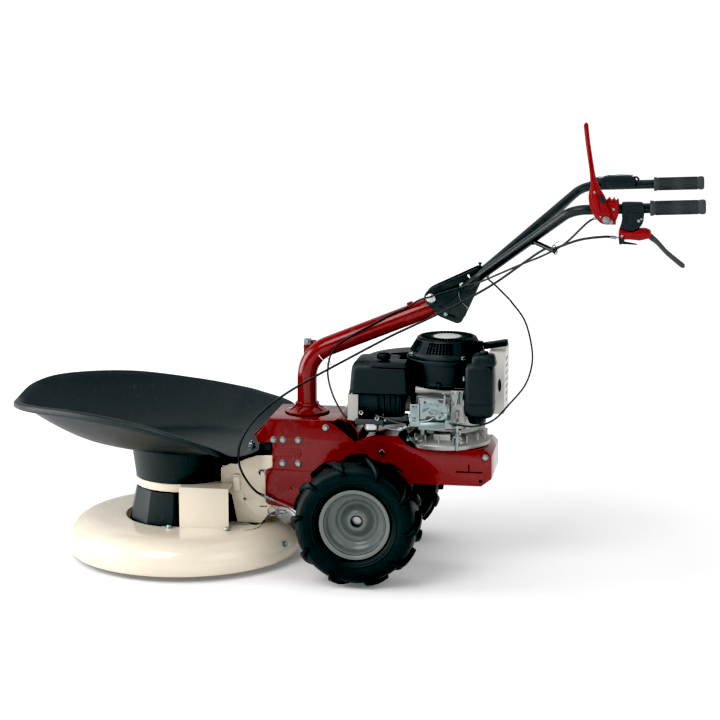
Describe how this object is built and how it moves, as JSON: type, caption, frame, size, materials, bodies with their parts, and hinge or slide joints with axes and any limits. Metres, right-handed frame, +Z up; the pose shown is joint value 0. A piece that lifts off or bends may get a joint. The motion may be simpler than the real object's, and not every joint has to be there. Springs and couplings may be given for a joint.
{
  "type": "rotary lawn mower",
  "caption": "Walk-behind drum mower: grass dish and skirted cutting drum in front, lug-tyred motor unit behind, bent column with forked handlebar, levers and cables.",
  "frame": {"origin": "middle of the machine's footprint box, on the floor", "axes": "+X to the handlebar end (front of the machine at -X), +Y to its right side, +Z up"},
  "size_m": [1.7869, 0.6418, 1.167],
  "materials": {
    "red_paint": "gloss",
    "cream_paint": "high gloss",
    "black_paint": "semi-gloss",
    "black_plastic": "satin",
    "dish_plastic": "satin",
    "rubber": "matte",
    "tyre_rubber": "matte",
    "wheel_paint": "satin",
    "cast_aluminium": "as cast",
    "gear_casting": "as cast",
    "zinc_steel": "zinc plated",
    "bare_steel": "machined",
    "rope": "braided"
  },
  "bodies": {
    "chassis": {"gearbox_housing": "gear_casting", "side_plate_left": "red_paint", "side_plate_right": "red_paint", "top_plate": "red_paint", "engine_deck": "red_paint", "head_frame": "cream_paint", "bearing_housing": "gear_casting", "upper_cover": "black_plastic", "dish": "dish_plastic", "skirt": "cream_paint", "skirt_rear_panel": "cream_paint", "engine_base": "cast_aluminium", "crankcase": "cast_aluminium", "blower_housing": "black_plastic", "recoil_cover": "black_plastic", "fuel_tank": "black_plastic", "carburettor": "zinc_steel", "air_filter_box": "black_plastic", "governor_bracket": "zinc_steel", "muffler": "cast_aluminium", "mower_belt": "rubber", "travel_belt": "rubber", "starter_rope": "rope", "clutch_cable_lower": "rubber", "engage_cable_lower": "rubber", "throttle_cable_lower": "rubber"},
    "crank": {"crankshaft": "bare_steel", "flywheel": "cast_aluminium"},
    "drum": {"drum_shaft": "bare_steel", "drum_cone": "black_paint", "cutting_disc": "bare_steel"},
    "blade_one": {"blade_1": "bare_steel"},
    "blade_two": {"blade_2": "bare_steel"},
    "blade_three": {"blade_3": "bare_steel"},
    "skid": {"skid_dish": "bare_steel"},
    "worm": {"worm_shaft": "bare_steel"},
    "axle": {"axle_shaft": "bare_steel"},
    "wheel_left": {"rim_left": "wheel_paint", "tyre_left": "tyre_rubber"},
    "wheel_right": {"rim_right": "wheel_paint", "tyre_right": "tyre_rubber"},
    "starter": {"starter_grip": "black_plastic"},
    "cap": {"fuel_cap": "black_plastic"},
    "column": {"column_tube": "red_paint"},
    "lock": {"lock_rod": "red_paint"},
    "handlebar": {"handlebar_bracket": "black_paint", "handle_tube_left": "black_paint", "handle_tube_right": "black_paint", "grip_left": "rubber", "grip_right": "rubber", "lever_clamp": "red_paint", "lever_housing": "black_plastic", "throttle_box": "black_plastic", "clutch_cable_upper": "rubber", "engage_cable_upper": "rubber", "throttle_cable_upper": "rubber"},
    "engage": {"engage_lever": "red_paint"},
    "clutch": {"clutch_lever": "red_paint"},
    "trigger": {"clutch_trigger": "black_plastic"},
    "throttle": {"throttle_lever": "zinc_steel"}
  },
  "joints": [
    {"name": "axle_spin", "type": "hinge", "parent": "chassis", "child": "axle", "pos_m": [0.0585, 0, 0.165], "axis": [0, 1, 0], "continuous": true},
    {"name": "wheel_left_spin", "type": "hinge", "parent": "axle", "child": "wheel_left", "pos_m": [0.0585, -0.231, 0.165], "axis": [0, 1, 0], "continuous": true},
    {"name": "wheel_right_spin", "type": "hinge", "parent": "axle", "child": "wheel_right", "pos_m": [0.0585, 0.231, 0.165], "axis": [0, 1, 0], "continuous": true},
    {"name": "worm_spin", "type": "hinge", "parent": "chassis", "child": "worm", "pos_m": [0.0083, 0, 0.165], "axis": [0, 0, 1], "continuous": true},
    {"name": "crank_spin", "type": "hinge", "parent": "chassis", "child": "crank", "pos_m": [0.2545, 0, 0.3], "axis": [0, 0, 1], "continuous": true},
    {"name": "drum_spin", "type": "hinge", "parent": "chassis", "child": "drum", "pos_m": [-0.4365, 0, 0.1], "axis": [0, 0, 1], "continuous": true},
    {"name": "skid_spin", "type": "hinge", "parent": "drum", "child": "skid", "pos_m": [-0.4365, 0, 0.02], "axis": [0, 0, 1], "continuous": true},
    {"name": "blade_one_swing", "type": "hinge", "parent": "drum", "child": "blade_one", "pos_m": [-0.4365, -0.222, 0.037], "axis": [0, 0, 1], "range_deg": [-90, 90]},
    {"name": "blade_two_swing", "type": "hinge", "parent": "drum", "child": "blade_two", "pos_m": [-0.24424, 0.111, 0.037], "axis": [0, 0, 1], "range_deg": [-90, 90]},
    {"name": "blade_three_swing", "type": "hinge", "parent": "drum", "child": "blade_three", "pos_m": [-0.62876, 0.111, 0.037], "axis": [0, 0, 1], "range_deg": [-90, 90]},
    {"name": "column_swivel", "type": "hinge", "parent": "chassis", "child": "column", "pos_m": [-0.109, 0, 0.4], "axis": [0, 0, 1], "range_deg": [-30, 30], "deforming": ["clutch_cable_lower", "engage_cable_lower", "throttle_cable_lower"]},
    {"name": "column_lock", "type": "slide", "parent": "column", "child": "lock", "axis": [0, 0, 1], "range_m": [0, 0.012], "stiffness_N_per_m": 800, "springref_m": -0.01},
    {"name": "handlebar_tilt", "type": "hinge", "parent": "column", "child": "handlebar", "pos_m": [0.2152, 0, 0.6975], "axis": [0, 1, 0], "range_deg": [-20, 12], "deforming": ["engage_cable_upper", "clutch_cable_upper", "throttle_cable_upper"]},
    {"name": "engage_lever_swing", "type": "hinge", "parent": "handlebar", "child": "engage", "pos_m": [0.6615, -0.302, 0.938], "axis": [0, 1, 0], "range_deg": [0, 65]},
    {"name": "clutch_lever_squeeze", "type": "hinge", "parent": "handlebar", "child": "clutch", "pos_m": [0.6995, -0.279, 0.9], "axis": [0, -1, 0], "range_deg": [0, 18], "stiffness_Nm_per_rad": 2, "springref_deg": -20.05},
    {"name": "trigger_press", "type": "hinge", "parent": "handlebar", "child": "trigger", "pos_m": [0.6965, -0.279, 0.882], "axis": [0, -1, 0], "range_deg": [0, 8], "stiffness_Nm_per_rad": 0.2, "springref_deg": -11.46},
    {"name": "throttle_turn", "type": "hinge", "parent": "handlebar", "child": "throttle", "pos_m": [0.6735, 0.279, 0.988], "axis": [0, 0, 1], "range_deg": [0, 60]},
    {"name": "starter_pull", "type": "slide", "parent": "chassis", "child": "starter", "axis": [0.9404, 0, 0.3401], "range_m": [0, 0.55], "stiffness_N_per_m": 20, "springref_m": -0.5, "deforming": ["starter_rope"]},
    {"name": "fuel_cap_turn", "type": "hinge", "parent": "chassis", "child": "cap", "pos_m": [0.1035, -0.088, 0.5576], "axis": [0, 0, 1], "range_deg": [0, 90]}
  ],
  "couplings": [
    {"joint": "worm_spin", "follows": "axle_spin", "ratio": 10}
  ]
}
